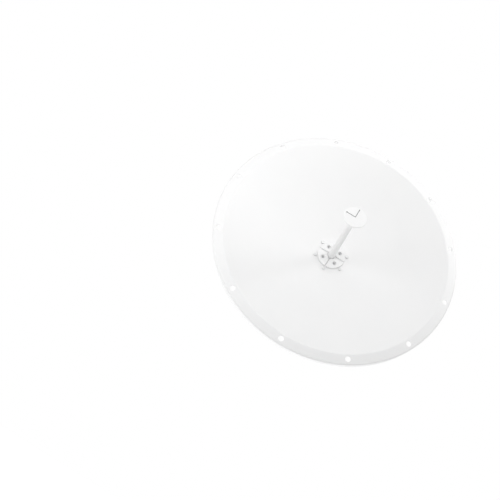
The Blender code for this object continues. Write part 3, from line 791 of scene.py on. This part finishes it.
housing = dict(neck=0.033, neckLength=0.0028, flange=0.0485, flangeEnd=0.0088, body=0.034, bodyEnd=0.0508,
               grooves=(0.036, 0.040, 0.044), grooveDepth=0.0008, grooveStep=0.0006, grooveEdge=0.0002,
               rim=0.006, rimSlope=0.0006, rimDepth=0.0008, rimEdge=0.0003, padHalfWidth=0.026,
               padHalfDepth=0.012, padTop=-0.020, padFoot=-0.036, padCorner=0.003, padEdge=0.0008, sharp=30)
socket = dict(flats=0.0185, flange=0.004, neckDepth=0.0007, neckLength=0.0014, neckSlope=0.0006,
              barrel=0.0079, barrelEnd=0.018, bore=0.0062, boreFloor=0.007, boreEdge=0.0004, pin=0.0016,
              pinEnd=0.016, pinEdge=0.0003, pinBore=0.0008, pinBoreDepth=0.004, pitch=0.00106,
              ringGap=0.0001, ringHeight=0.003, ringStep=0.0004, ringFlat=0.0015)


def makeHousing():
    s = housing
    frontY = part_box("feed_housing")[0].y
    low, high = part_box("connector_left")
    middleY = (low.y + high.y) / 2
    corners = [(0, 0), (s["neck"], 0), (s["neck"], s["neckLength"]), (s["flange"], s["neckLength"]),
               (s["flange"], s["flangeEnd"]), (s["body"], s["flangeEnd"])]
    radii = [0, 0.0003, 0, 0.0006, 0.001, 0.0018]
    step, bottom = s["grooveStep"], s["body"] - s["grooveDepth"]
    for groove in s["grooves"]:
        corners += [(s["body"], groove), (bottom, groove + step), (bottom, groove + 2 * step),
                    (s["body"], groove + 3 * step)]
        radii += [s["grooveEdge"]] * 4
    rim, recess = s["body"] - s["rim"], s["bodyEnd"] - s["rimDepth"]
    corners += [(s["body"], s["bodyEnd"]), (rim, s["bodyEnd"]), (rim - s["rimSlope"], recess), (0, recess)]
    radii += [0.0025, s["rimEdge"], s["rimEdge"], 0]
    profile = rounded(corners, radii, 4, False)
    turned = turnedSurface(profile[:, 0], profile[:, 1], 96)
    body = addPiece("feedHousing", placed([turned], (0, frontY, 0), "back"), "cast_alloy", ["feed_housing"],
                    s["sharp"])
    # the flat pad of the sockets is joined to the round body
    outline = rectangle(s["padHalfWidth"], s["padHalfDepth"], s["padCorner"], 6)
    block = sheetSurfaces(outline, [], 0, s["padTop"] - s["padFoot"], s["padEdge"])
    pad = newObject("pad", meshFrom("pad", placed(block, (0, middleY, s["padTop"]), "down")))
    union = body.modifiers.new("pad", "BOOLEAN")
    union.operation = "UNION"
    union.solver = "EXACT"
    union.object = pad
    body.data = bpy.data.meshes.new_from_object(body.evaluated_get(bpy.context.evaluated_depsgraph_get()))
    body.modifiers.clear()
    body.data.materials.clear()
    body.data.materials.append(finishes["cast_alloy"])
    body.data.shade_smooth()
    body.data.set_sharp_from_angle(angle=math.radians(s["sharp"]))
    bpy.data.objects.remove(pad)
    for side in ("left", "right"):
        makeSocket(side)
    print("housing made")


def makeSocket(side):
    # hexagon flange, threaded barrel, bore with a plastic ring at its floor, and a bored centre pin
    s = socket
    low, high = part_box(f"connector_{side}")
    seat = ((low.x + high.x) / 2, (low.y + high.y) / 2, high.z)
    flange, barrel, end, bore, floor = s["flange"], s["barrel"], s["barrelEnd"], s["bore"], s["boreFloor"]
    hexSide, meets = hexTop(s["flats"], flange)
    start, neck = flange + s["neckLength"], barrel - s["neckDepth"]
    rows = [(0, 0), (hexSide, 0), (hexSide, meets), (s["flats"] * hexagon["cone"], flange), (neck, flange),
            (neck, start - s["neckSlope"]), (barrel, start)]
    thread = threadSurface(barrel, s["pitch"], -start, -end)
    thread = (thread[0] * (1, 1, -1), thread[1])
    core = barrel - s["pitch"] * threadDepth
    pin, pinEnd, pinFloor = s["pin"], s["pinEnd"], s["pinEnd"] - s["pinBoreDepth"]
    inside = np.array([(core, end), (bore + s["boreEdge"], end), (bore, end - s["boreEdge"]), (bore, floor),
                       (pin, floor), (pin, pinEnd - s["pinEdge"]), (pin - s["pinEdge"], pinEnd),
                       (s["pinBore"], pinEnd), (s["pinBore"], pinFloor), (0, pinFloor)])
    shell = [turnedRows(rows), thread, turnedSurface(inside[:, 0], inside[:, 1], fastenerSteps)]
    addPiece(f"socket{side.title()}", placed(shell, seat, "down"), "nickel", [f"connector_{side}"], 28)
    gap, ringEdge = s["ringGap"], floor + s["ringHeight"]
    ringTop = ringEdge + s["ringStep"]
    ring = np.array([(pin + gap, floor + gap), (bore - gap, floor + gap), (bore - gap, ringEdge),
                     (pin + s["ringFlat"], ringTop), (pin + gap, ringTop)])
    insert = turnedSurface(ring[:, 0], ring[:, 1], fastenerSteps, closed=True)
    addPiece(f"socketInsert{side.title()}", placed([insert], seat, "down"), "white_plastic")


# Yoke: a bent angle plate each side of the hub

yoke = dict(thick=0.004, bend=0.005, rearHalf=0.047, frontHalf=0.055, rearCorner=0.008, flangeCorner=0.005,
            pivot=(-0.080, -0.030), lock=(-0.080, 0.028), pinHole=0.0044, boltX=0.0632, boltZ=0.0365,
            edge=0.0005)


def makeYoke():
    s = yoke
    low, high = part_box("yoke_right")
    earX, flangeY = low.x + s["thick"] / 2, low.y + s["thick"] / 2
    path = foldPath([(earX, high.y), (earX, flangeY), (high.x, flangeY)], s["bend"])
    station = path[1]
    bendStart, total = station[1], station[-1]
    rear, front, rearCorner, corner = s["rearHalf"], s["frontHalf"], s["rearCorner"], s["flangeCorner"]
    outline = rounded([(0, -rear), (bendStart, -front), (total, -front), (total, front), (bendStart, front),
                       (0, rear)], (rearCorner, 0, corner, corner, 0, rearCorner), 6)
    alongEar = [(high.y - y, z) for y, z in (s["pivot"], s["lock"])]
    onFlange = [(total - (high.x - s["boltX"]), z) for z in (-s["boltZ"], s["boltZ"])]
    holes = [circle(u, v, s["pinHole"], 32) for u, v in alongEar + onFlange]
    addPair("yoke{}", foldedSheet(outline, holes, s["thick"], s["edge"], path), "yoke_{}")
    print("yoke made")


# Pole bracket: a plate with two ears welded to its front

bracket = dict(plateFront=-0.006, plateCorner=0.010, boltX=0.052, boltZ=0.070, boltHole=0.0054,
               earThick=0.004, earRootHalf=0.058, earHalf=0.046, earTaperY=-0.030, earCorner=0.010,
               taperCorner=0.02, yokeGap=0.0005, rootGap=0.0002, swing=14, slotHalf=0.0044, edge=0.0005)
weld = dict(size=0.0042, ripple=0.0026, rippleDepth=0.07, drift=0.05, driftRate=211, endTaper=0.0035,
            fromEarEnd=0.001, plateLeg=0.86, sunk=-0.06, steps=121)


def slotOutline(centre, radius, swing, halfWidth, steps=14):
    # two arcs about the centre, a slot's width apart, closed by half circles
    arc = np.linspace(-swing, swing, steps)
    half = np.linspace(0, math.pi, 9)[1:-1]
    direction = polar(1, arc)[:, ::-1]
    outer, inner = direction * (radius + halfWidth), direction[::-1] * (radius - halfWidth)

    def end(angle, turn):
        middle = np.array((math.sin(angle), math.cos(angle))) * radius
        return middle + halfWidth * polar(1, turn)[:, ::-1]

    loop = np.concatenate((outer, end(swing, swing + half), inner, end(-swing, -swing + math.pi + half)))
    return (loop + np.array(centre))[::-1]


def makeBracket():
    s = bracket
    low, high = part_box("pole_bracket")
    plateFront, boltX, boltZ = s["plateFront"], s["boltX"], s["boltZ"]
    holes = [circle(u, v, s["boltHole"], 36) for u in (-boltX, boltX) for v in (-boltZ, boltZ)]
    sheet = sheetSurfaces(rectangle(high.x, high.z, s["plateCorner"], 8), holes, 0, -plateFront, s["edge"])
    addPiece("bracketPlate", placed(sheet, (0, plateFront, 0), "back"), "galvanised_steel", ["pole_bracket"])
    root, rootHalf, taper, half = plateFront + s["rootGap"], s["earRootHalf"], s["earTaperY"], s["earHalf"]
    corner, taperCorner = s["earCorner"], s["taperCorner"]
    outline = rounded([(root, -rootHalf), (root, rootHalf), (taper, half), (low.y, half), (low.y, -half),
                       (taper, -half)], (0, 0, taperCorner, corner, corner, taperCorner), 8)
    pivot = yoke["pivot"]
    slot = slotOutline(pivot, yoke["lock"][1] - pivot[1], math.radians(s["swing"]), s["slotHalf"])
    ear = sheetSurfaces(outline, [slot, circle(*pivot, yoke["pinHole"], 32)], 0, s["earThick"], s["edge"])
    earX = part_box("yoke_right")[0].x - s["yokeGap"] - s["earThick"]
    addPair("bracketEar{}", placed(ear, (earX, 0, 0), "right"))
    for name, x, side in (("Inner", earX, -1), ("Outer", earX + s["earThick"], 1)):
        addPair("weld{}" + name, [weldBead((x, plateFront), side, rootHalf - weld["fromEarEnd"])])
    print("bracket made")


def weldBead(corner, side, half):
    # a quarter-round bead along z, its legs on the plate and the ear, rippled, its ends shrunk to points
    s = weld
    z = np.linspace(-half, half, s["steps"])
    size = s["size"] * (1 + s["rippleDepth"] * np.abs(np.sin(math.pi * z / s["ripple"]))
                        + s["drift"] * np.sin(z * s["driftRate"]))
    size = size * np.sqrt(np.clip((half - np.abs(z)) / s["endTaper"], 0, 1))
    turn = np.linspace(0, math.pi / 2, 9)
    sunk = s["sunk"]
    u = np.concatenate(([1.0], np.cos(turn[1:]) * s["plateLeg"], [sunk, sunk]))
    v = np.concatenate(([sunk], np.sin(turn[1:]), [1.0, sunk]))
    x = corner[0] + side * size[:, None] * u[None, :]
    y = corner[1] - size[:, None] * v[None, :]
    return gridSurface(np.stack((x, y, np.repeat(z[:, None], len(u), 1)), -1), closedColumns=True)


# Pivot and lock bolts, jaws and clamp bolts

jaw = dict(thick=0.005, halfHeight=0.016, vHalf=0.040, bend=0.0075, corner=0.005, boltX=0.052,
           boltHole=0.0054, edge=0.0005)
pivotThread, clampThread = 0.024, 0.034


def makePivots():
    makeBolt("pivotBolt", "pivot_bolt", "right", fasteners["m8"], 0.3, pivotThread)
    makeNut("pivotNut", "pivot_nut", "left", fasteners["m8"], 0.5)
    for side, inward in (("left", "right"), ("right", "left")):
        makeBolt("lockBolt" + side.title(), "lock_bolt_" + side, side, fasteners["m8"], 0.2)
        makeNut("lockNut" + side.title(), "lock_nut_" + side, inward, fasteners["m8"], 0.8)
    print("pivots made")


def makeClamps():
    s = jaw
    low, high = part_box("clamp_jaw_upper")
    wingY = low.y + s["thick"] / 2
    bendX = s["vHalf"] + s["thick"] / 2 * math.tan(math.radians(22.5))
    apexY = wingY + bendX
    corners = [(high.x, wingY), (bendX, wingY), (0, apexY), (-bendX, wingY), (-high.x, wingY)]
    path = foldPath(corners, s["bend"])
    total, tall = path[1][-1], s["halfHeight"]
    outline = rounded([(0, -tall), (total, -tall), (total, tall), (0, tall)], s["corner"], 6)
    fromEnd = high.x - s["boltX"]
    holes = [circle(u, 0, s["boltHole"], 36) for u in (fromEnd, total - fromEnd)]
    bent = foldedSheet(outline, holes, s["thick"], s["edge"], path)
    for name in ("upper", "lower"):
        low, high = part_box(f"clamp_jaw_{name}")
        raised = [(points + (0, 0, (low.z + high.z) / 2), faces) for points, faces in bent]
        addPiece("clampJaw" + name.title(), raised, "galvanised_steel", [f"clamp_jaw_{name}"])
    for i in range(1, 5):
        makeBolt(f"clampBolt{i}", f"clamp_bolt_{i}", "front", fasteners["m10"], 0.5 * i, clampThread)
        makeNut(f"clampNut{i}", f"clamp_nut_{i}", "back", fasteners["m10"], 0.8 * i)
    print("clamps made")


# Floor, light and camera

# a white room, seen as 1.0. It lights the object with less, a little more from behind than from the front,
# and the floor's own glow grows in the same way, along these spans of the direction and of metres
stage = dict(floorZ=-2.1, floorHalf=12.0, floorColour=0.9, floorRoughness=0.9, frontGlow=0.1, backGlow=1.0,
             glowSpan=(-1.0, 2.0), frontLight=0.62, backLight=0.78, lightSpan=(0.0, 0.5), roomSeen=1.0)
softLights = dict(          # place and power
    keyTop=dict(place=(0.0, -1.1, 0.8), watts=1.1),
    keyLeft=dict(place=(-0.4, -1.1, 0.4), watts=1.48),
    lowLeft=dict(place=(-0.8, -1.1, -0.4), watts=2.95),
    fillRight=dict(place=(0.8, -1.1, 0.8), watts=2.4),
    highRight=dict(place=(1.2, -1.1, 1.6), watts=5.8))
lamps = dict(side=0.6, aim=(0.0, -0.25, 0.0))
view = dict(place=(-0.0128, -1.9555, -1.0521), turn=(123.81, -27.44, -16.24), lens=33.71, filmWidth=36,
            shiftX=-0.14, shiftY=0.012)


def depthOf(tree, coordinates):
    # how far a point, or a direction, lies towards the back
    where = addNode(tree, "TexCoord").outputs[coordinates]
    return addNode(tree, "SeparateXYZ", {"Vector": where}).outputs["Y"]


def makeStage():
    s = stage
    half, grey = s["floorHalf"], s["floorColour"]
    floor = newObject("floor", bpy.data.meshes.new("floor"))
    corners = [(x, y, s["floorZ"]) for x, y in ((-half, -half), (half, -half), (half, half), (-half, half))]
    floor.data.from_pydata(corners, [], [(0, 1, 2, 3)])
    pale = bpy.data.materials.new("paleFloor")
    pale.use_nodes = True
    tree = pale.node_tree
    glow = spread(tree, depthOf(tree, "Object"), s["frontGlow"], s["backGlow"], *s["glowSpan"])
    setInputs(tree, tree.nodes["Principled BSDF"], {
        "Base Color": (grey, grey, grey, 1), "Roughness": s["floorRoughness"],
        "Emission Color": (1, 1, 1, 1), "Emission Strength": glow})
    floor.data.materials.append(pale)
    world = bpy.data.worlds.new("studio")
    world.use_nodes = True
    tree = world.node_tree
    light = spread(tree, depthOf(tree, "Generated"), s["frontLight"], s["backLight"], *s["lightSpan"])
    seen = addNode(tree, "LightPath").outputs["Is Camera Ray"]
    strength = spread(tree, seen, light, s["roomSeen"], 0.0, 1.0)
    setInputs(tree, tree.nodes["Background"], {"Color": (1, 1, 1, 1), "Strength": strength})
    bpy.context.scene.world = world
    bpy.context.scene.view_settings.view_transform = "Standard"
    for name, light in softLights.items():
        lamp = newObject(name, bpy.data.lights.new(name, "AREA"))
        lamp.data.shape = "SQUARE"
        lamp.data.size = lamps["side"]
        lamp.data.energy = light["watts"]
        lamp.location = light["place"]
        towards = Vector(lamps["aim"]) - Vector(light["place"])
        lamp.rotation_euler = towards.to_track_quat("-Z", "Y").to_euler()
        lamp.visible_camera = False
    print("stage made")


def makeCamera():
    s = view
    camera = newObject("camera", bpy.data.cameras.new("camera"))
    camera.data.sensor_width = s["filmWidth"]
    camera.data.lens = s["lens"]
    camera.data.shift_x, camera.data.shift_y = s["shiftX"], s["shiftY"]
    camera.location = s["place"]
    camera.rotation_euler = [math.radians(angle) for angle in s["turn"]]
    bpy.context.scene.camera = camera


makeFinishes()
makeReflector()
makeHub()
makeFoot()
makeFeed()
makeHousing()
makeYoke()
makeBracket()
makePivots()
makeClamps()
makeStage()
makeCamera()

print("done")
